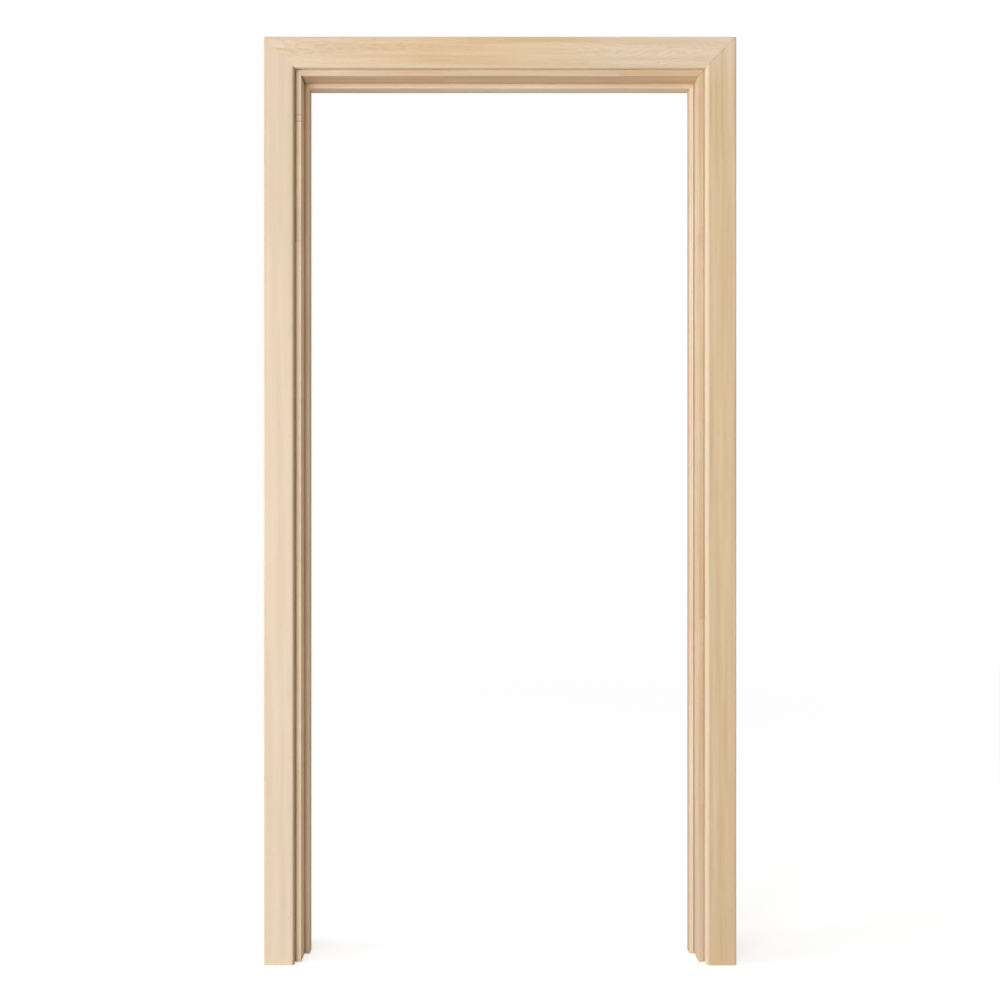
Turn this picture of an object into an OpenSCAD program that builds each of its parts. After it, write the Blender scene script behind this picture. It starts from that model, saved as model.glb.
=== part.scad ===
// Timber frame of an interior door, with a mitred casing on its front side.
// X runs across the doorway, Y from the front to the back of the wall, and Z up from the floor.
// The origin is on the floor, halfway across the doorway and halfway through the frame's depth.

/* [Door leaf] */
// Width of the leaf that the frame is made for
leaf_w = 914; // [700:1:1100]
// Height of that leaf
leaf_h = 2032; // [1800:1:2400]
// Thickness of that leaf
leaf_t = 44; // [30:1:50]
// Running gap along the leaf's sides and over its top
leaf_gap = 3; // [2:0.5:5]
// Gap between the leaf and the floor
floor_gap = 18; // [3:1:25]

/* [Jambs] */
// Thickness of the jambs
jamb_t = 32; // [28:1:40]
// Depth of the jambs, which is the thickness of the finished wall
jamb_d = 116; // [110:1:200]
// Radius of the arrises beside the doorway
jamb_r = 1.5; // [0.5:0.5:4]
// Number of relief grooves in the side that faces the wall
groove_n = 2; // [1:1:4]
// Width of a relief groove
groove_w = 6; // [3:0.5:10]
// Depth of a relief groove
groove_h = 3; // [1:0.5:5]
// Width of the shadow groove in the front edge, which runs in under the casing's nose
shadow_w = 7; // [4:0.5:8]
// Depth of the shadow groove
shadow_h = 3; // [1:0.5:5]
// Part of its width that the casing leaves in sight
shadow_bare = 2.5; // [1:0.5:3.5]

/* [Stops] */
// How far a stop stands out from its jamb
stop_t = 12.5; // [9:0.5:16]
// Width of a stop, along the depth of the jamb
stop_w = 30; // [24:1:40]
// Radius of a stop's two free arrises
stop_r = 3; // [1:0.5:4]
// Play between the closed leaf and the stops
stop_play = 2; // [1:0.5:5]
// Width of the seal's groove, along the foot of a stop on the leaf's side
seal_w = 3; // [2:0.5:4]
// Depth of the seal's groove
seal_h = 3; // [2:0.5:8]

/* [Casing] */
// Width of the casing over its nose
casing_w = 70; // [60:0.5:100]
// Thickness of the casing
casing_t = 19; // [18:0.5:28]
// Strip of the jamb's front edge that the casing leaves bare
reveal = 14; // [8:0.5:18]
// Radius of the round nose along the casing's inner edge, at its face and at its back
nose_r = 7; // [4:0.5:9]
// Radius of the casing's outer arris
casing_r = 2.5; // [1:0.5:5]
// Depth of the hollow along the casing's back
hollow_h = 2; // [1:0.5:4]
// Flat land between that hollow and the casing's outer edge
hollow_land = 10; // [6:1:14]

/* [Biscuits in the mitres] */
// Length of a biscuit
biscuit_l = 56; // [44:1:60]
// Width of a biscuit
biscuit_w = 23; // [15:1:24]
// Thickness of a biscuit
biscuit_t = 4; // [3:0.5:4.5]
// Radius of the saw that cuts the slots
slot_r = 50; // [46:1:56]
// Distance of the jamb's biscuit from the faces beside the doorway
jamb_biscuit_in = 13; // [12:0.5:16]

/* [Corner screws] */
// Length of a corner screw
screw_l = 60; // [45:1:70]
// Diameter of its shank
screw_d = 4.5; // [3.5:0.1:5.5]
// Diameter of its countersunk head
screw_head_d = 9; // [7.5:0.1:10]
// Distance of the screws from the jamb's front and back edges
screw_inset = 15; // [10:0.5:16]

/* [Nails] */
// Length of a casing nail
nail_l = 45; // [38:1:50]
// Diameter of a casing nail's shank
nail_d = 1.8; // [1.4:0.1:2.4]
// Diameter of a casing nail's head
nail_head_d = 3; // [2.6:0.1:4]
// Length of a stop pin
pin_l = 30; // [25:1:34]
// Diameter of a stop pin's shank
pin_d = 1.4; // [1.2:0.1:2]
// Diameter of a stop pin's head
pin_head_d = 2.2; // [2.1:0.1:3]
// Depth of a nail's head below the face it is driven through
set_depth = 1.2; // [0.5:0.1:2]
// Largest distance from nail to nail along a board
nail_pitch = 420; // [250:10:600]
// Distance from the last nail to the inner corner or the floor
nail_margin = 110; // [80:1:160]

/* [Hidden] */
$fn = 48;

// Doorway between the jambs, which the leaf fills with its gaps
doorway_x = leaf_w / 2 + leaf_gap;
doorway_z = leaf_h + leaf_gap + floor_gap;

// Depth, from the casing's face back
front_y = -(casing_t + jamb_d) / 2;
jamb_y = front_y + casing_t;
stop_y = jamb_y + leaf_t + stop_play;

// Inner corner of the stops and of the casing
stop_x = doorway_x - stop_t;
stop_z = doorway_z - stop_t;
casing_x = doorway_x + reveal;
casing_z = doorway_z + reveal;

// Strip of the jamb's front edge that the casing covers and is nailed to
lap = jamb_t - reveal;
// Land between the hollow and the casing's inner edge, past the jamb
lap_land = lap + 2;

// Line of the casing's nails, between its nose and the jamb's outer face
nail_line = (nose_r + lap) / 2;

// Room left around a glued or driven piece, on each side
fit = 0.1;
// Room left past the tip of a screw or nail
tip_room = 0.5;
// How far a cutting shape runs past the face that it cuts
over = 1;

// Countersunk head, core and tip of a corner screw
screw_head_h = 2.8;
screw_core_d = 3;
screw_tip = 5;
// Cross recess of a corner screw
recess_w = 1;
recess_span = 4.4;
recess_h = 2;
// Height of a nail's head and length of its point
nail_head_h = 1;
nail_point = 3;

// Middle of the casing's thickness, and of the jamb's
casing_mid_y = front_y + (casing_t - hollow_h) / 2;
jamb_mid_y = jamb_y + jamb_d / 2;
screw_z = doorway_z + jamb_t / 2;

PALE = "#e6d2b8";
PALE_EDGE = "#dcc5a6";
BEECH = "#d2b083";
STEEL = "#b9bcc0";

// A square corner of a section that is taken off, leaving an arc of radius r.
// The corner lies at the origin and the section fills the quadrant of +X and +Y.
module arris(r) {
    difference() {
        translate([-over, -over])
            square(r + over);
        translate([r, r])
            circle(r);
    }
}

// Section of a jamb: X from the doorway towards the wall, Y from front to back
module jamb_section() {
    difference() {
        square([jamb_t, jamb_d]);
        arris(jamb_r);
        translate([0, jamb_d])
            mirror([0, 1])
                arris(jamb_r);
        translate([reveal - shadow_bare, -over])
            square([shadow_w, shadow_h + over]);
        for (i = [1:groove_n])
            translate([jamb_t - groove_h, i * jamb_d / (groove_n + 1) - groove_w / 2])
                square([groove_h + over, groove_w]);
    }
}

// Section of a stop: X from its free face towards the jamb
module stop_section() {
    difference() {
        square([stop_t, stop_w]);
        arris(stop_r);
        translate([0, stop_w])
            mirror([0, 1])
                arris(stop_r);
        translate([stop_t - seal_w, -over])
            square([seal_w + over, seal_h + over]);
    }
}

// Section of the casing: X from its inner edge to its outer one, Y from its face back
module casing_section() {
    difference() {
        square([casing_w, casing_t]);
        arris(nose_r);
        translate([0, casing_t])
            mirror([0, 1])
                arris(nose_r);
        translate([casing_w, 0])
            mirror([1, 0])
                arris(casing_r);
        translate([lap_land, casing_t - hollow_h])
            square([casing_w - lap_land - hollow_land, hollow_h + over]);
    }
}

// The right-hand board of a mitred set, with its section as the child.
// Its inner corner is at x and z, its face is w wide and starts at y, and it is d deep.
module upright(x, y, z, w, d) {
    intersection() {
        translate([x, y, 0])
            linear_extrude(z + w)
                children();
        translate([0, y + d + over, 0])
            rotate([90, 0, 0])
                linear_extrude(d + 2 * over)
                    polygon([[x - over, -over], [x + w + over, -over],
                             [x + w + over, z + w + over], [x - over, z - over]]);
    }
}

// The top board of a mitred set, in the same terms
module crosspiece(x, y, z, w, d) {
    intersection() {
        translate([x + w, y, z])
            rotate([0, -90, 0])
                linear_extrude(2 * (x + w))
                    children();
        translate([0, y + d + over, 0])
            rotate([90, 0, 0])
                linear_extrude(d + 2 * over)
                    polygon([[-x + over, z - over], [x - over, z - over],
                             [x + w + over, z + w + over], [-x - w - over, z + w + over]]);
    }
}

// Pointed oval between two arcs, which the slot cutter leaves on both sides of a joint
module slot_oval(r, half_w) {
    intersection() {
        translate([0, r - half_w])
            circle(r, $fn = 96);
        translate([0, half_w - r])
            circle(r, $fn = 96);
    }
}

// A pressed beech biscuit, with blunt ends
module biscuit() {
    linear_extrude(biscuit_t, center = true)
        intersection() {
            slot_oval(slot_r, biscuit_w / 2);
            square([biscuit_l, biscuit_w + over], center = true);
        }
}

// The room that the biscuit lies in, a little deeper and longer than it is
module biscuit_slot() {
    linear_extrude(biscuit_t + 2 * fit, center = true)
        slot_oval(slot_r, biscuit_w / 2 + tip_room);
}

// Places its child in the right-hand mitre of the casing, flat in the board's plane
module at_casing_mitre() {
    translate([casing_x + casing_w / 2, casing_mid_y, casing_z + casing_w / 2])
        rotate([0, -45, 0])
            rotate([90, 0, 0])
                children();
}

// Places its child in the right-hand mitre of the jambs, lengthwise through the wall
module at_jamb_mitre() {
    translate([doorway_x + jamb_biscuit_in, jamb_mid_y, doorway_z + jamb_biscuit_in])
        rotate([0, 45, 0])
            rotate([0, 0, 90])
                children();
}

// A countersunk wood screw along +Z, with its head's top at the origin
module screw() {
    difference() {
        union() {
            cylinder(h = screw_head_h, d1 = screw_head_d, d2 = screw_d);
            translate([0, 0, screw_head_h])
                cylinder(h = screw_l / 3 - screw_head_h, d = screw_d);
            translate([0, 0, screw_l / 3])
                cylinder(h = screw_l * 2 / 3 - screw_tip, d = screw_core_d);
            translate([0, 0, screw_l - screw_tip])
                cylinder(h = screw_tip, d1 = screw_core_d, d2 = screw_core_d / 6);
        }
        for (turn = [0, 90])
            rotate(turn)
                translate([-recess_span / 2, -recess_w / 2, -over])
                    cube([recess_span, recess_w, recess_h + over]);
    }
}

// The countersunk hole that it sits in
module screw_hole() {
    head_hole_d = screw_head_d + 2 * fit;
    translate([0, 0, -over])
        cylinder(h = over, d = head_hole_d);
    cylinder(h = screw_head_h + fit, d1 = head_hole_d, d2 = screw_d + 2 * fit);
    cylinder(h = screw_l / 3 + fit, d = screw_d + 2 * fit);
    cylinder(h = screw_l + tip_room, d = screw_core_d + 2 * fit);
}

// Places its child at each screw of the right-hand corner, pointing into the head
module at_corner_screws() {
    for (y = [jamb_y + screw_inset, jamb_y + jamb_d - screw_inset])
        translate([doorway_x + jamb_t, y, screw_z])
            rotate([0, -90, 0])
                children();
}

// A nail along +Z, with the face that it is driven through at the origin
module nail(length, shank_d, head_d) {
    translate([0, 0, set_depth]) {
        cylinder(h = nail_head_h, d = head_d);
        cylinder(h = length - nail_point, d = shank_d);
        translate([0, 0, length - nail_point])
            cylinder(h = nail_point, d1 = shank_d, d2 = shank_d / 6);
    }
}

// The hole of that nail, open at the face
module nail_hole(length, shank_d, head_d) {
    translate([0, 0, -over])
        cylinder(h = over + set_depth + nail_head_h + fit, d = head_d + 2 * fit);
    cylinder(h = set_depth + length + tip_room, d = shank_d + 2 * fit);
}

// Even places between two ends, no further apart than the pitch
function nail_places(from, to) =
    let (gaps = ceil((to - from) / nail_pitch))
    [for (i = [0:gaps]) from + (to - from) * i / gaps];

// Places its child at each nail of the right-hand casing, pointing back into the jamb
module at_side_casing_nails() {
    for (z = nail_places(nail_margin, casing_z - nail_margin))
        translate([casing_x + nail_line, front_y, z])
            rotate([-90, 0, 0])
                children();
}

// Places its child at each nail of the head casing
module at_head_casing_nails() {
    reach = casing_x - nail_margin;
    for (x = nail_places(-reach, reach))
        translate([x, front_y, casing_z + nail_line])
            rotate([-90, 0, 0])
                children();
}

// Places its child at each pin of the right-hand stop, pointing into the jamb
module at_side_stop_pins() {
    for (z = nail_places(nail_margin, stop_z - nail_margin))
        translate([stop_x, stop_y + stop_w / 2, z])
            rotate([0, 90, 0])
                children();
}

// Places its child at each pin of the head stop, pointing up into the head
module at_head_stop_pins() {
    reach = stop_x - nail_margin;
    for (x = nail_places(-reach, reach))
        translate([x, stop_y + stop_w / 2, stop_z])
            children();
}

module casing_nail() {
    color(STEEL)
        nail(nail_l, nail_d, nail_head_d);
}

module casing_nail_hole() {
    nail_hole(nail_l, nail_d, nail_head_d);
}

module stop_pin() {
    color(STEEL)
        nail(pin_l, pin_d, pin_head_d);
}

module stop_pin_hole() {
    nail_hole(pin_l, pin_d, pin_head_d);
}

module right_jamb() {
    color(PALE_EDGE)
        difference() {
            upright(doorway_x, jamb_y, doorway_z, jamb_t, jamb_d)
                jamb_section();
            at_jamb_mitre()
                biscuit_slot();
            at_corner_screws()
                screw_hole();
            at_side_casing_nails()
                casing_nail_hole();
            at_side_stop_pins()
                stop_pin_hole();
        }
}

module left_jamb() {
    mirror([1, 0, 0])
        right_jamb();
}

module head_jamb() {
    color(PALE_EDGE)
        difference() {
            crosspiece(doorway_x, jamb_y, doorway_z, jamb_t, jamb_d)
                jamb_section();
            for (side = [0, 1])
                mirror([side, 0, 0]) {
                    at_jamb_mitre()
                        biscuit_slot();
                    at_corner_screws()
                        screw_hole();
                }
            at_head_casing_nails()
                casing_nail_hole();
            at_head_stop_pins()
                stop_pin_hole();
        }
}

module right_stop() {
    color(PALE)
        difference() {
            upright(stop_x, stop_y, stop_z, stop_t, stop_w)
                stop_section();
            at_side_stop_pins()
                stop_pin_hole();
        }
}

module left_stop() {
    mirror([1, 0, 0])
        right_stop();
}

module head_stop() {
    color(PALE)
        difference() {
            crosspiece(stop_x, stop_y, stop_z, stop_t, stop_w)
                stop_section();
            at_head_stop_pins()
                stop_pin_hole();
        }
}

module right_casing() {
    color(PALE)
        difference() {
            upright(casing_x, front_y, casing_z, casing_w, casing_t)
                casing_section();
            at_casing_mitre()
                biscuit_slot();
            at_side_casing_nails()
                casing_nail_hole();
        }
}

module left_casing() {
    mirror([1, 0, 0])
        right_casing();
}

module head_casing() {
    color(PALE)
        difference() {
            crosspiece(casing_x, front_y, casing_z, casing_w, casing_t)
                casing_section();
            for (side = [0, 1])
                mirror([side, 0, 0])
                    at_casing_mitre()
                        biscuit_slot();
            at_head_casing_nails()
                casing_nail_hole();
        }
}

module right_jamb_biscuit() {
    color(BEECH)
        at_jamb_mitre()
            biscuit();
}

module left_jamb_biscuit() {
    mirror([1, 0, 0])
        right_jamb_biscuit();
}

module right_casing_biscuit() {
    color(BEECH)
        at_casing_mitre()
            biscuit();
}

module left_casing_biscuit() {
    mirror([1, 0, 0])
        right_casing_biscuit();
}

module right_corner_screws() {
    color(STEEL)
        at_corner_screws()
            screw();
}

module left_corner_screws() {
    mirror([1, 0, 0])
        right_corner_screws();
}

module right_casing_nails() {
    at_side_casing_nails()
        casing_nail();
}

module left_casing_nails() {
    mirror([1, 0, 0])
        right_casing_nails();
}

module head_casing_nails() {
    at_head_casing_nails()
        casing_nail();
}

module right_stop_pins() {
    at_side_stop_pins()
        stop_pin();
}

module left_stop_pins() {
    mirror([1, 0, 0])
        right_stop_pins();
}

module head_stop_pins() {
    at_head_stop_pins()
        stop_pin();
}

left_jamb();
right_jamb();
head_jamb();
left_stop();
right_stop();
head_stop();
left_casing();
right_casing();
head_casing();
left_jamb_biscuit();
right_jamb_biscuit();
left_casing_biscuit();
right_casing_biscuit();
left_corner_screws();
right_corner_screws();
left_casing_nails();
right_casing_nails();
head_casing_nails();
left_stop_pins();
right_stop_pins();
head_stop_pins();
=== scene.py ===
import math

import bmesh
import bpy
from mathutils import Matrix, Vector


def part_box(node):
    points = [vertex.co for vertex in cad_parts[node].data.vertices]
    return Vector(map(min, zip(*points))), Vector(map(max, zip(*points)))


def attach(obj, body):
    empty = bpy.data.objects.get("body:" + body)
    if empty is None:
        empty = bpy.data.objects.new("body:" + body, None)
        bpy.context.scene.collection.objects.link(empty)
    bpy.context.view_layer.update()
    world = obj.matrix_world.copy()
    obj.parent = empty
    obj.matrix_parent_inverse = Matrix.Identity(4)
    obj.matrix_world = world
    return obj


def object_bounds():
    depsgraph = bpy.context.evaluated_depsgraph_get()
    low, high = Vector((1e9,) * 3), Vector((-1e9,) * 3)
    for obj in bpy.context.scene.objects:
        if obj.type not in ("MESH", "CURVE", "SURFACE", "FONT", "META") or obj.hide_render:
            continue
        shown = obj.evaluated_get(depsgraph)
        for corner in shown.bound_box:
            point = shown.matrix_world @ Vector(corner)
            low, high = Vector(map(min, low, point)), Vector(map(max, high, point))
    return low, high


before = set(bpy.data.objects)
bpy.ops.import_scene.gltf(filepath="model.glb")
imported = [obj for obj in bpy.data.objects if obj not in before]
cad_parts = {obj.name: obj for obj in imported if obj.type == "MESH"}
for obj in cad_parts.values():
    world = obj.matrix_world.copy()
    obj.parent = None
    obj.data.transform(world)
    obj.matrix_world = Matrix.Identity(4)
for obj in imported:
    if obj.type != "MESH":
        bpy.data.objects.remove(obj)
cad_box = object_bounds()

# The jambs are the frame's own three boards: 32 mm finger-jointed pale hardwood, planed and
# lacquered, mitred at the top corners over a biscuit and screwed from the wall side.
# Short blocks are glued end to end along each board, so its tone steps a little at every joint.

MM_PER_M = 1000
LACQUER_IOR = 1.5
GRAIN_ALONG_X = (0, math.radians(-90), 0)
GRAIN_ALONG_Z = (0, 0, 0)
TREE_STRIDE_MM = (37.0, 53.0, 971.0)
BLOCK_STRIDE_MM = (213.0, 97.0, 1733.0)
FINGER_LENGTH_MM = 15.0
FINGER_HALF_PITCH_MM = 5.0
JOINT_LINE_HALF_MM = 1.1
MITRE_DARKNESS = 0.35
# The tone of the glue lines, also used for the painted shade in the jambs' left inner corner.
GLUE_AND_SHADE_TONE = "#5a3c20"

# How far lines of the section lie out from the doorway's middle plane, in metres. On the head
# the same lines lie lower by the mitre's offset.
jamb_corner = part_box("right_jamb")[1]
MITRE_OFFSET = jamb_corner.x - jamb_corner.z
NOSE_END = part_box("head_casing")[0].z
NOSE_TIP = NOSE_END + MITRE_OFFSET
GROOVE_MIDDLE = NOSE_TIP + 0.001
STOP_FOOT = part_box("right_stop")[1].x - 0.0031
OUTER_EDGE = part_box("right_casing")[1].x


def linear(colour):
    """Linear RGBA of an sRGB hex colour."""
    parts = [int(colour[i:i + 2], 16) / 255 for i in (1, 3, 5)]
    curve = [c / 12.92 if c <= 0.04045 else ((c + 0.055) / 1.055) ** 2.4 for c in parts]
    return (*curve, 1)


def cleared(owner):
    """The emptied node tree of a material or a world."""
    owner.use_nodes = True
    owner.node_tree.nodes.clear()
    return owner.node_tree


def put(tree, kind, inputs=None, **settings):
    """Adds a node. An input is a value or another node's socket, named by its place or title."""
    made = tree.nodes.new("ShaderNode" + kind)
    for title, value in settings.items():
        setattr(made, title, value)
    for place, value in (inputs or {}).items():
        if isinstance(value, bpy.types.NodeSocket):
            tree.links.new(value, made.inputs[place])
        else:
            made.inputs[place].default_value = value
    return made


def maths(tree, operation, *values):
    """The result of a sum on one to three values."""
    return put(tree, "Math", dict(enumerate(values)), operation=operation).outputs[0]


def ramp(tree, value, start, end, first=0.0, last=1.0, **settings):
    """Goes from first to last while the value goes from start to end, and holds beyond them."""
    return put(tree, "MapRange", {0: value, 1: start, 2: end, 3: first, 4: last}, **settings).outputs[0]


def mix(tree, share, under, over, blend="MIX"):
    """One colour laid over another, by its share."""
    return put(tree, "Mix", {0: share, 6: under, 7: over}, data_type="RGBA", blend_type=blend).outputs[2]


def cast(tree, wood, share, tone):
    """The wood's colour, multiplied by a tone where share is 1."""
    return mix(tree, share, wood, (*tone, 1), "MULTIPLY")


def grains(tree, place, size_mm, detail, roughness=0.5):
    """Noise whose grains are that many mm across, and drawn out along the board."""
    scaled = put(tree, "Mapping", {"Vector": place, "Scale": [1 / size for size in size_mm]}).outputs[0]
    return put(tree, "TexNoise", {"Vector": scaled, "Scale": 1.0, "Detail": detail,
                                  "Roughness": roughness}).outputs


def surface(tree, colour, roughness, height, bump, more):
    """Ends a material in its outer surface. bump is the relief's strength and its depth in metres."""
    strength, depth = bump
    relief = put(tree, "Bump", {"Strength": strength, "Distance": depth, "Height": height}).outputs[0]
    body = put(tree, "BsdfPrincipled", {"Base Color": colour, "Roughness": roughness,
                                        "Normal": relief, **more})
    put(tree, "OutputMaterial", {0: body.outputs[0]})


def glued_blocks(tree, axes, faces, blocks):
    """How many joints lie below a place in a board, the lightness there and the joints' lines.

    The fingers show in the wide face as a zigzag. In the front edge they end in two straight lines.
    """
    finger = maths(tree, "PINGPONG", axes[1], FINGER_HALF_PITCH_MM)
    edge_on = maths(tree, "GREATER_THAN", maths(tree, "ABSOLUTE", faces[1]), 0.7)
    zigzag = put(tree, "Mix", {0: edge_on, 2: finger, 3: FINGER_HALF_PITCH_MM},
                 data_type="FLOAT").outputs[0]
    along = maths(tree, "MULTIPLY_ADD", zigzag, FINGER_LENGTH_MM / FINGER_HALF_PITCH_MM, axes[2])
    joints_below = 0.0
    lightness = blocks[0][1]
    lines = 0.0
    for (_, value_below, _), (joint, value, darkness) in zip(blocks, blocks[1:]):
        joint_mm = joint * MM_PER_M
        past = maths(tree, "GREATER_THAN", along, joint_mm)
        tips = maths(tree, "COMPARE", along, joint_mm, JOINT_LINE_HALF_MM)
        roots = maths(tree, "COMPARE", along, joint_mm + FINGER_LENGTH_MM, JOINT_LINE_HALF_MM)
        line = maths(tree, "MULTIPLY_ADD", roots, edge_on, tips)
        joints_below = maths(tree, "ADD", joints_below, past)
        lightness = maths(tree, "MULTIPLY_ADD", past, value - value_below, lightness)
        lines = maths(tree, "MULTIPLY_ADD", line, darkness, lines)
    return joints_below, lightness, lines


def growth_rings(tree, length, stuff, ring_mm, pith_mm, lean_deg, curl):
    """0 in early wood and 1 in late wood, round a pith that wanders over a metre or so."""
    wander = grains(tree, stuff, (90, 90, 420), 2.0)["Color"]
    swayed = put(tree, "VectorMath", {0: wander, 1: (18.0, 18.0, 0.0), 2: length},
                 operation="MULTIPLY_ADD").outputs[0]
    leaning = put(tree, "Mapping", {"Vector": swayed, "Rotation": (math.radians(lean_deg), 0, 0),
                                    "Location": (*pith_mm, 0)}).outputs[0]
    flat = put(tree, "VectorMath", {0: leaning, 1: (1, 1, 0)}, operation="MULTIPLY").outputs[0]
    radius = put(tree, "VectorMath", {0: flat}, operation="LENGTH").outputs["Value"]
    stray, reach_mm = curl
    ragged = grains(tree, stuff, (0.28 * reach_mm, 0.28 * reach_mm, reach_mm), 3.0)[0]
    waved = maths(tree, "MULTIPLY_ADD", ragged, stray * ring_mm, radius)
    year = maths(tree, "FRACT", maths(tree, "MULTIPLY", waved, 1 / ring_mm))
    ring = put(tree, "ValToRGB", {0: year})
    ring.color_ramp.interpolation = "EASE"
    early, late = ring.color_ramp.elements
    early.position = 0.2
    early.color = (0, 0, 0, 1)
    late.position = 0.8
    late.color = (1, 1, 1, 1)
    ring.color_ramp.elements.new(1.0).color = (0.1, 0.1, 0.1, 1)
    return ring.outputs[0]


def mitre_lines(tree, place, across, up, off):
    """The fine glued seam of a mitre, with a few darker spots in it. off is the way from its plane.

    It is tight on the left, but for a hair's opening at the inner end of the casing's.
    """
    line = ramp(tree, off, 0.0004, 0.0014, MITRE_DARKNESS, 0.0)
    gummed = put(tree, "TexNoise", {"Vector": place, "Scale": MM_PER_M / 9, "Detail": 1.0}).outputs[0]
    blotch = ramp(tree, gummed, 0.45, 0.62, 0.15, 1.5)
    open_right = ramp(tree, across, -0.4, 0.4, 0.1, 1.0)
    inner_end = maths(tree, "COMPARE", up, NOSE_END, 0.0015)
    opened = maths(tree, "MAXIMUM", open_right, inner_end)
    return maths(tree, "MULTIPLY", maths(tree, "MULTIPLY", line, blotch), opened)


def timber(name, turn, seed, tones, ring_mm=4.0, pith_mm=(30, 70), lean_deg=0.8, figure=0.16,
           fibre_share=0.2, curl=(2.0, 80), blocks=(), fades=(), painted_side_shading=None, painted_groove_shading=None,
           painted_foot_shading=None, painted_arris_shading=None, painted_nose_shading=None):
    """Pale hardwood, planed and clear-lacquered: satin, with soft growth rings and fine fibres.

    turn lays the board's length along the grain, and seed picks the part of the tree it comes
    from. tones are the early wood, the late wood and the darkest fleck. pith_mm is where the
    tree's centre lay, and lean_deg how far the board leans from it, which opens the rings into
    arches. figure and fibre_share are how strongly rings and fibres show, and curl how many
    rings they stray, and over what length in mm. blocks are the metres along the board from
    which each finger-jointed block starts, with its lightness and how dark its joint is. fades
    are stretches in metres, from full to none, over which the board turns to a paler tone.

    The last five arguments are painted light and shade. Four are casts that the wood's colour is
    multiplied by: in the faces along the doorway, in the sunk channel beside the casing, in the channel
    at a stop's base and at the casing's outer edge. The fifth is the tone painted over the casing's
    rounded inner edge, its share and its width in mm.
    """
    material = bpy.data.materials.new(name)
    tree = cleared(material)
    early, late, fleck = (linear(tone) for tone in tones)

    position = put(tree, "TexCoord").outputs
    place = position["Object"]
    length = put(tree, "Mapping", {"Vector": place, "Rotation": turn, "Scale": (MM_PER_M,) * 3}).outputs[0]
    facing = put(tree, "Mapping", {"Vector": position["Normal"], "Rotation": turn},
                 vector_type="VECTOR").outputs[0]
    axes = put(tree, "SeparateXYZ", {0: length}).outputs
    faces = put(tree, "SeparateXYZ", {0: facing}).outputs

    # Each glued block is cut from another place in the tree, so the grain shifts at its joint.
    shift = [seed * stride for stride in TREE_STRIDE_MM]
    if blocks:
        joints_below, lightness, joint_lines = glued_blocks(tree, axes, faces, blocks)
        shift = put(tree, "VectorMath", {0: BLOCK_STRIDE_MM, 1: joints_below, 2: shift},
                    operation="MULTIPLY_ADD").outputs[0]
    stuff = put(tree, "VectorMath", {0: length, 1: shift}).outputs[0]

    ring = growth_rings(tree, length, stuff, ring_mm, pith_mm, lean_deg, curl)
    # Fibres are about 0.3 mm wide, and are drawn 1.4 mm wide so that they show.
    fibre = grains(tree, stuff, (1.4, 1.4, 90), 3.0, 0.6)[0]
    # Broader streaks, a finger wide and a forearm long
    streak = grains(tree, stuff, (14, 14, 380), 2.0)[0]
    # The figure is stronger in some places, and nearly gone in others.
    bold = ramp(tree, grains(tree, stuff, (70, 70, 300), 1.0)[0], 0.35, 0.62, 0.2, 1.3)
    # Pores cut lengthwise show as short dark dashes, drawn coarser as well.
    dash = ramp(tree, grains(tree, stuff, (1.1, 1.1, 22), 1.0)[0], 0.67, 0.76, 0.0, 0.3)
    # The wood turns rosier or greener over a hand's width.
    patch = ramp(tree, grains(tree, stuff, (45, 45, 110), 2.0)[0], 0.35, 0.65)

    figured = maths(tree, "MULTIPLY_ADD", maths(tree, "MULTIPLY", ring, bold), figure, streak)
    grained = maths(tree, "MULTIPLY_ADD", fibre, fibre_share, figured)
    middle = 0.5 + 0.4 * figure + 0.5 * fibre_share
    depth = ramp(tree, grained, middle - 0.3, middle + 0.3)
    wood = mix(tree, depth, early, late)
    for start, stop, paler in fades:
        share = ramp(tree, axes[2], start * MM_PER_M, stop * MM_PER_M, 0.9, 0.0,
                     interpolation_type="SMOOTHSTEP")
        turn_to = [2 * p / (e + l) for p, e, l in zip(linear(paler), early, late)]
        wood = mix(tree, share, wood, turn_to, "MULTIPLY")
    tint = mix(tree, patch, (1.01, 0.98, 0.98, 1), (0.995, 1.005, 0.98, 1))
    wood = mix(tree, 1.0, wood, tint, "MULTIPLY")
    wood = mix(tree, dash, wood, fleck)

    # Uprights and head have one section, and out tells how far a place lies from its inner side.
    across, _, up = put(tree, "SeparateXYZ", {0: place}).outputs
    side = maths(tree, "ABSOLUTE", across)
    rise = maths(tree, "ADD", up, MITRE_OFFSET)
    out = maths(tree, "MAXIMUM", side, rise)
    inner = maths(tree, "LESS_THAN", out, NOSE_TIP)
    sideways = maths(tree, "ABSOLUTE", faces[0])

    # Painted light and shade: the casts below multiply the wood's colour to darken or lighten the faces
    # along the doorway, the groove beside the casing, the groove at a stop's foot and the casing's outer
    # arris, and the nose's tone paints the casing's nose dark or pale, each set per board for how light
    # falls there.
    if painted_side_shading:
        wood = cast(tree, wood, ramp(tree, sideways, 0.6, 0.9, 0.0, inner), painted_side_shading)
    if painted_groove_shading:
        wood = cast(tree, wood, maths(tree, "COMPARE", out, GROOVE_MIDDLE, 0.004), painted_groove_shading)
    if painted_foot_shading:
        wood = cast(tree, wood, maths(tree, "GREATER_THAN", out, STOP_FOOT), painted_foot_shading)
    if painted_arris_shading:
        wood = cast(tree, wood, ramp(tree, out, OUTER_EDGE - 0.006, OUTER_EDGE - 0.002), painted_arris_shading)
    if painted_nose_shading:
        tone, most, width_mm = painted_nose_shading
        painted_nose_edge = NOSE_TIP + width_mm / MM_PER_M
        share = ramp(tree, out, painted_nose_edge - 0.001, painted_nose_edge + 0.0005, most, 0.0)
        wood = mix(tree, share, wood, linear(tone))

    off = maths(tree, "ABSOLUTE", maths(tree, "SUBTRACT", side, rise))
    glue_lines_and_painted_shade = mitre_lines(tree, place, across, up, off)
    if blocks:
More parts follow.
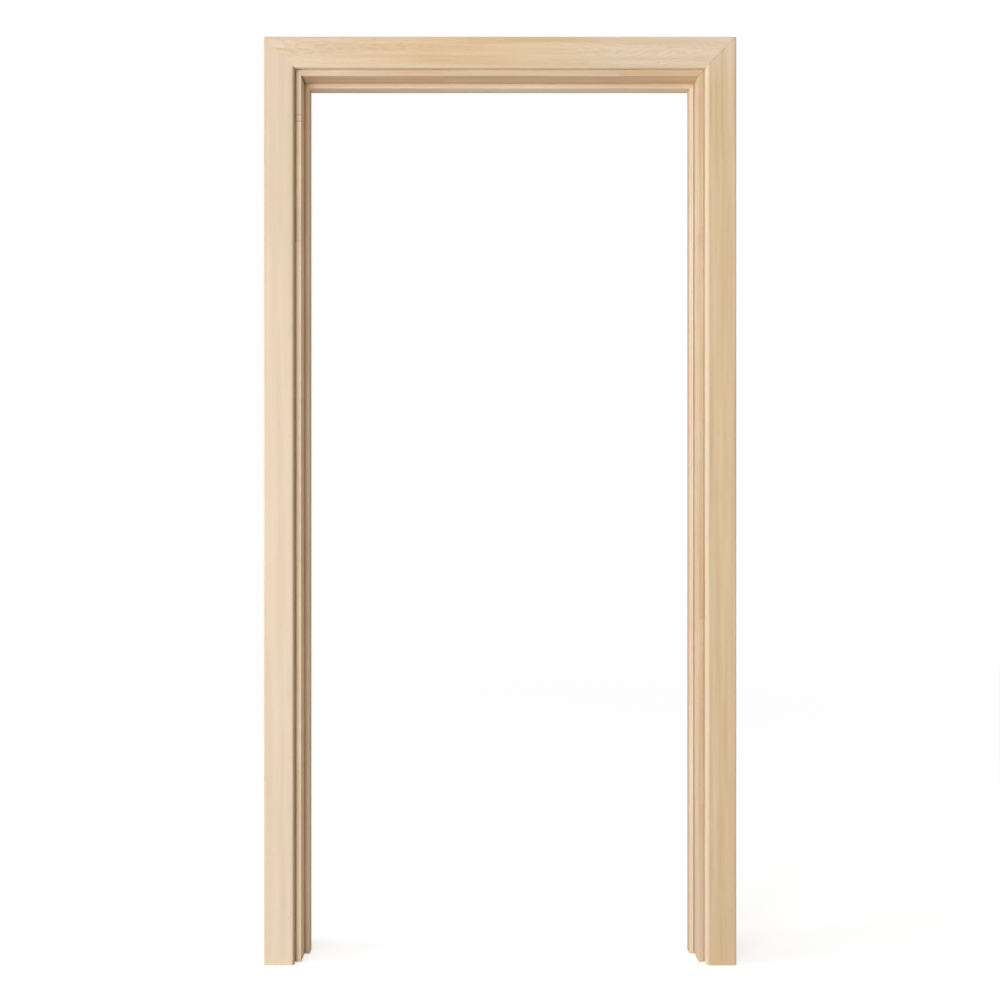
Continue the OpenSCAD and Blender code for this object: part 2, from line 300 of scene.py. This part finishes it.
        # Painted shade: the left inner corner of the jambs is darkened over a few mm of the faces beside
        # its mitre, in the same dark tone as the glue lines.
        painted_corner_shade = ramp(tree, off, 0.001, 0.006, 0.55, 0.0)
        for share in (sideways, inner, maths(tree, "LESS_THAN", across, 0.0)):
            painted_corner_shade = maths(tree, "MULTIPLY", painted_corner_shade, share)
        glue_lines_and_painted_shade = maths(tree, "MAXIMUM", painted_corner_shade, maths(tree, "ADD", joint_lines, glue_lines_and_painted_shade))
        wood = put(tree, "HueSaturation", {"Value": lightness, "Color": wood}).outputs[0]
    # The glue lines, with the painted shade of the jambs' left inner corner laid in with them.
    wood = mix(tree, glue_lines_and_painted_shade, wood, linear(GLUE_AND_SHADE_TONE))

    # Cut ends drink more lacquer and go darker.
    cut = ramp(tree, maths(tree, "ABSOLUTE", faces[2]), 0.8, 0.95, 0.0, 0.55)
    wood = mix(tree, cut, wood, fleck)

    roughness = ramp(tree, depth, 0.0, 1.0, 0.68, 0.82)
    height = maths(tree, "SUBTRACT", fibre, dash)
    surface(tree, wood, roughness, height, (0.14, 0.0003),
            {"IOR": LACQUER_IOR, "Specular IOR Level": 0.12})
    return material


def finish(node, material):
    """Gives a node's whole surface that material."""
    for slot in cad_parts[node].material_slots:
        slot.material = material


# Painted shade and light in the jambs' casts: darker faces along the doorway and a darker groove on the
# left jamb, lighter ones on the right jamb and the head.
finish("left_jamb", timber(
    "lacquered_left_jamb", GRAIN_ALONG_Z, 1.3, ("#fae7ce", "#edd4b2", "#c09c72"), pith_mm=(560, 40),
    painted_side_shading=(0.86, 0.78, 0.68), painted_groove_shading=(0.97, 0.87, 0.74),
    blocks=((0, 1.0, 0), (0.46, 1.02, 0.05), (0.93, 0.99, 0.06), (1.32, 1.03, 0.05),
            (1.685, 0.95, 0.1), (1.76, 1.03, 0.05), (1.963, 0.96, 0.34))))
finish("right_jamb", timber(
    "lacquered_right_jamb", GRAIN_ALONG_Z, 2.6, ("#e4ccaf", "#d2b38d", "#a88258"), pith_mm=(-380, 60),
    painted_side_shading=(1.13, 1.18, 1.3), painted_groove_shading=(1.06, 1.16, 1.28),
    blocks=((0, 0.98, 0), (0.38, 1.0, 0.04), (0.81, 0.99, 0.04), (1.27, 1.01, 0.04), (1.7, 1.0, 0.04))))
finish("head_jamb", timber(
    "lacquered_head_jamb", GRAIN_ALONG_X, 3.7, ("#e6cfb4", "#d3b591", "#aa845b"), pith_mm=(2140, 60),
    painted_side_shading=(1.08, 1.04, 1.02), painted_groove_shading=(1.3, 1.4, 1.5),
    blocks=((-0.5, 1.0, 0), (-0.12, 0.99, 0.04), (0.29, 1.01, 0.04))))

# The stops are 12.5 x 30 mm strips with round front arrises, of the same wood and lacquer.
# They are pinned to the jambs, mitred at the corners, and the leaf closes against them.

# Painted shade and light in the stops' casts: darker faces along the doorway on both upright stops,
# lighter on the head stop, and a cast in the groove at each upright stop's foot that darkens the right
# one.
finish("left_stop", timber(
    "lacquered_left_stop", GRAIN_ALONG_Z, 5.1, ("#f8e4ca", "#ecd1af", "#c09c74"), pith_mm=(480, 90),
    painted_side_shading=(0.77, 0.67, 0.55), painted_foot_shading=(1.05, 1.0, 0.94)))
finish("right_stop", timber(
    "lacquered_right_stop", GRAIN_ALONG_Z, 6.4, ("#f2e0cb", "#e3caad", "#b8926a"), pith_mm=(-420, 40),
    painted_side_shading=(0.8, 0.77, 0.74), painted_foot_shading=(0.74, 0.78, 0.76)))
finish("head_stop", timber(
    "lacquered_head_stop", GRAIN_ALONG_X, 7.9, ("#f2ddc4", "#e2c6a4", "#b8926a"), pith_mm=(2100, 50),
    painted_side_shading=(1.08, 1.12, 1.14)))

# The casing is a flat 19 x 70 mm board with a round nose towards the doorway. Its legs are
# straight-grained and its head is flat-sawn, with arches in the middle. It is nailed to the
# jambs' front edges and glued at the mitres over a biscuit.

# Painted light and shade at the casings' edges: a lighter outer arris on the left and a darker one on the
# right, a dark nose on the left and pale noses on the right and at the head.
finish("left_casing", timber(
    "lacquered_left_casing", GRAIN_ALONG_Z, 8.2, ("#eedcc6", "#e4ceb1", "#c8a47c"), ring_mm=5.0,
    pith_mm=(420, 60), figure=0.1, fibre_share=0.12, fades=((2.2, 1.2, "#e1cdb3"),),
    painted_arris_shading=(1.02, 0.975, 1.0), painted_nose_shading=("#c6a373", 0.83, 2.7)))
finish("right_casing", timber(
    "lacquered_right_casing", GRAIN_ALONG_Z, 9.5, ("#ecd3b1", "#dabb8f", "#b48a5c"), ring_mm=5.0,
    pith_mm=(-420, 70), figure=0.12, fibre_share=0.07, fades=((2.15, 1.98, "#e9d2b5"),),
    painted_arris_shading=(0.92, 0.88, 0.86), painted_nose_shading=("#eed9bc", 0.8, 8.0)))
finish("head_casing", timber(
    "lacquered_head_casing", GRAIN_ALONG_X, 11.8, ("#ecd2b0", "#dab98d", "#b0875a"),
    pith_mm=(2102, 62), lean_deg=4.5, figure=0.2, fibre_share=0.09, curl=(3.6, 42),
    fades=((-0.6, -0.1, "#e4ceb5"), (0.3, -0.02, "#e9d2b6")), painted_nose_shading=("#f6e4c8", 0.8, 2.6)))

# Biscuits are pressed beech, glued into both sides of each mitre. Screws are zinc-plated steel,
# seen at the wall side, and nails and pins are bright drawn wire, set below the face.

beech = timber("pressed_beech", GRAIN_ALONG_X, 14.1, ("#dcbd92", "#c8a274", "#9a7448"), ring_mm=3.0)
for node in ("left_jamb_biscuit", "right_jamb_biscuit", "left_casing_biscuit", "right_casing_biscuit"):
    finish(node, beech)


def noise(tree, size_mm, detail):
    """Even noise with its grains that many mm across."""
    place = put(tree, "TexCoord").outputs["Object"]
    return put(tree, "TexNoise", {"Vector": place, "Scale": MM_PER_M / size_mm,
                                  "Detail": detail}).outputs[0]


def plain_metal(name, colour, roughness, scratch_mm):
    """Steel with fine scratches: zinc plate spreads its gloss, drawn wire keeps more of it."""
    material = bpy.data.materials.new(name)
    tree = cleared(material)
    mark = noise(tree, scratch_mm, 4.0)
    tint = ramp(tree, mark, 0.3, 0.7, 0.8, 1.1)
    shade = put(tree, "HueSaturation", {"Value": tint, "Color": linear(colour)}).outputs[0]
    gloss = ramp(tree, mark, 0.3, 0.7, roughness - 0.08, roughness + 0.12)
    surface(tree, shade, gloss, mark, (0.2, 0.00005), {"Metallic": 1.0})
    return material


zinc = plain_metal("zinc_plated_steel", "#a9acae", 0.45, 0.8)
wire = plain_metal("bright_drawn_wire", "#b4b6b9", 0.35, 0.5)
for node in ("left_corner_screws", "right_corner_screws"):
    finish(node, zinc)
for node in ("left_casing_nails", "right_casing_nails", "head_casing_nails",
             "left_stop_pins", "right_stop_pins", "head_stop_pins"):
    finish(node, wire)

# Every nail and pin is set 1.2 mm deep, and the pit over it is stopped with wood filler: a matt
# putty, a little yellower than the wood, wiped level and sanded with it.

FILLER_DEPTH = 0.0012
FILLER_DISH = 0.00005
FILLER_DISH_SHARE = 0.6
FILLER_BITE = 0.00008
FILLER_SIDES = 24


def wood_filler():
    """Sanded putty: matt, with fine grit."""
    material = bpy.data.materials.new("wood_filler")
    tree = cleared(material)
    grit = noise(tree, 0.3, 2.0)
    surface(tree, mix(tree, grit, linear("#e6cba6"), linear("#d8ba92")), 0.7, grit, (0.3, 0.00005), {})
    return material


def added(name, data):
    """Adds an object with that mesh, lamp or camera to the scene."""
    made = bpy.data.objects.new(name, data)
    bpy.context.scene.collection.objects.link(made)
    return made


putty = wood_filler()


def fill_pits(name, node, along, into, count):
    """Stops the pits over one board's nails.

    along and into are the axes of the row and of the nails, and into's sign points the way they go.
    """
    low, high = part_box(node)
    axis = "xyz".index(into[-1])
    row = "xyz".index(along)
    sign = -1 if into[0] == "-" else 1
    across = 3 - axis - row
    pit_r = (high[across] - low[across]) / 2 + FILLER_BITE
    first = low[row] + pit_r
    last = high[row] - pit_r
    middle = Vector((0, 0, 0))
    middle[across] = (low[across] + high[across]) / 2
    middle[axis] = (low if sign > 0 else high)[axis] - sign * FILLER_DEPTH
    mesh = bmesh.new()
    for i in range(count):
        middle[row] = first + (last - first) * i / (count - 1)
        rims = []
        for depth, r in ((FILLER_DISH, pit_r * FILLER_DISH_SHARE), (0, pit_r), (FILLER_DEPTH, pit_r)):
            rim = []
            for k in range(FILLER_SIDES):
                angle = 2 * math.pi * k / FILLER_SIDES
                point = middle.copy()
                point[axis] += sign * depth
                point[row] += r * math.cos(angle)
                point[across] += r * math.sin(angle)
                rim.append(mesh.verts.new(point))
            rims.append(rim)
        for inner, outer in zip(rims, rims[1:]):
            for k in range(FILLER_SIDES):
                n = (k + 1) % FILLER_SIDES
                mesh.faces.new((inner[k], inner[n], outer[n], outer[k]))
        mesh.faces.new(rims[0])
        mesh.faces.new(rims[-1])
    bmesh.ops.recalc_face_normals(mesh, faces=mesh.faces)
    data = bpy.data.meshes.new(name)
    mesh.to_mesh(data)
    mesh.free()
    data.materials.append(putty)
    piece = added(name, data)
    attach(piece, "root")


fill_pits("left_casing_filler", "left_casing_nails", "z", "+y", 6)
fill_pits("right_casing_filler", "right_casing_nails", "z", "+y", 6)
fill_pits("head_casing_filler", "head_casing_nails", "x", "+y", 3)
fill_pits("left_stop_filler", "left_stop_pins", "z", "-x", 6)
fill_pits("right_stop_filler", "right_stop_pins", "z", "+x", 6)
fill_pits("head_stop_filler", "head_stop_pins", "x", "+z", 3)

# The studio: a pale matt floor that runs out of sight, and a white surround. What the camera
# sees of both is white. The floor keeps the frame's soft shadow, and is plain white far away.

FLOOR_SIZE = 60.0
FLOOR_GLOW = 0.598
PLAIN_FROM, PLAIN_TO = 1.0, 5.5
AMBIENT = 0.36
WHITE = (1, 1, 1, 1)


def seen(tree):
    """1 where a ray comes from the camera, or from a glossy or clear surface."""
    path = put(tree, "LightPath").outputs
    bright = maths(tree, "MAXIMUM", path["Is Camera Ray"], path["Is Glossy Ray"])
    return maths(tree, "MAXIMUM", bright, path["Is Transmission Ray"])


floor_mesh = bmesh.new()
bmesh.ops.create_grid(floor_mesh, x_segments=1, y_segments=1, size=FLOOR_SIZE / 2)
floor_data = bpy.data.meshes.new("floor")
floor_mesh.to_mesh(floor_data)
floor_mesh.free()
floor = added("floor", floor_data)
floor_paint = bpy.data.materials.new("pale_studio_floor")
floor_data.materials.append(floor_paint)
tree = cleared(floor_paint)
bright = seen(tree)
matt = put(tree, "BsdfDiffuse", {"Color": linear("#e8e8e8")}).outputs[0]
lift = maths(tree, "MULTIPLY", bright, FLOOR_GLOW)
glow = put(tree, "Emission", {"Color": WHITE, "Strength": lift}).outputs[0]
near_paint = put(tree, "AddShader", {0: matt, 1: glow}).outputs[0]
far_paint = put(tree, "Emission", {"Color": WHITE, "Strength": 1.0}).outputs[0]
reach = put(tree, "VectorMath", {0: put(tree, "TexCoord").outputs["Object"]}, operation="LENGTH")
distant = ramp(tree, reach.outputs["Value"], PLAIN_FROM, PLAIN_TO, interpolation_type="SMOOTHSTEP")
share = maths(tree, "MULTIPLY", bright, distant)
paint = put(tree, "MixShader", {0: share, 1: near_paint, 2: far_paint}).outputs[0]
put(tree, "OutputMaterial", {0: paint})

world = bpy.data.worlds.new("white_surround")
bpy.context.scene.world = world
tree = cleared(world)
sky = put(tree, "Background", {0: WHITE, 1: ramp(tree, seen(tree), 0.0, 1.0, AMBIENT, 1.0)})
put(tree, "OutputWorld", {0: sky.outputs[0]})

# Three large soft lights: the key in front, a little to the left, a weaker one on the left that
# reaches in past the near upright and lifts whatever faces left, and a faint one on the right.


def softbox(name, place, aim, width, height, power):
    """A plain white area light that faces the aim point."""
    lamp = bpy.data.lights.new(name, "AREA")
    lamp.shape = "RECTANGLE"
    lamp.size = width
    lamp.size_y = height
    lamp.energy = power
    made = added(name, lamp)
    made.location = place
    made.rotation_euler = (Vector(aim) - Vector(place)).to_track_quat("-Z", "Y").to_euler()


softbox("soft_key", (-3.0, -6.8, 1.5), (0, 0, 1.1), 4.4, 4.0, 300)
softbox("soft_side", (-5.0, -1.0, 1.5), (0.4, 0, 1.1), 4.0, 3.6, 150)
softbox("soft_fill", (4.6, 1.4, 1.3), (0, 0, 1.1), 3.0, 3.0, 20)

# The camera looks straight along the wall's depth, with level sight lines, so uprights stay
# upright. Its distance and its place to the left set how much of the inner faces it sees.

PHOTO_PX = 1000
LEFT_EDGE, RIGHT_EDGE = 263.5, 736.5
BOTTOM_EDGE = 965.5
VANISHING_X, VANISHING_Y = 481, 485
CAMERA_DISTANCE = 2.6

low, high = cad_box
px_m = (high.x - low.x) / (RIGHT_EDGE - LEFT_EDGE)
centre_px = (LEFT_EDGE + RIGHT_EDGE) / 2
camera_data = bpy.data.cameras.new("camera")
camera_data.sensor_width = 36.0
camera_data.lens = camera_data.sensor_width * CAMERA_DISTANCE / (PHOTO_PX * px_m)
camera_data.shift_x = (PHOTO_PX / 2 - VANISHING_X) / PHOTO_PX
camera_data.shift_y = (VANISHING_Y - PHOTO_PX / 2) / PHOTO_PX
camera = added("camera", camera_data)
camera.location = (
    (VANISHING_X - centre_px) * px_m,
    low.y - CAMERA_DISTANCE,
    (BOTTOM_EDGE - VANISHING_Y) * px_m,
)
camera.rotation_euler = (math.radians(90), 0, 0)
bpy.context.scene.camera = camera
bpy.context.scene.view_settings.view_transform = "Standard"
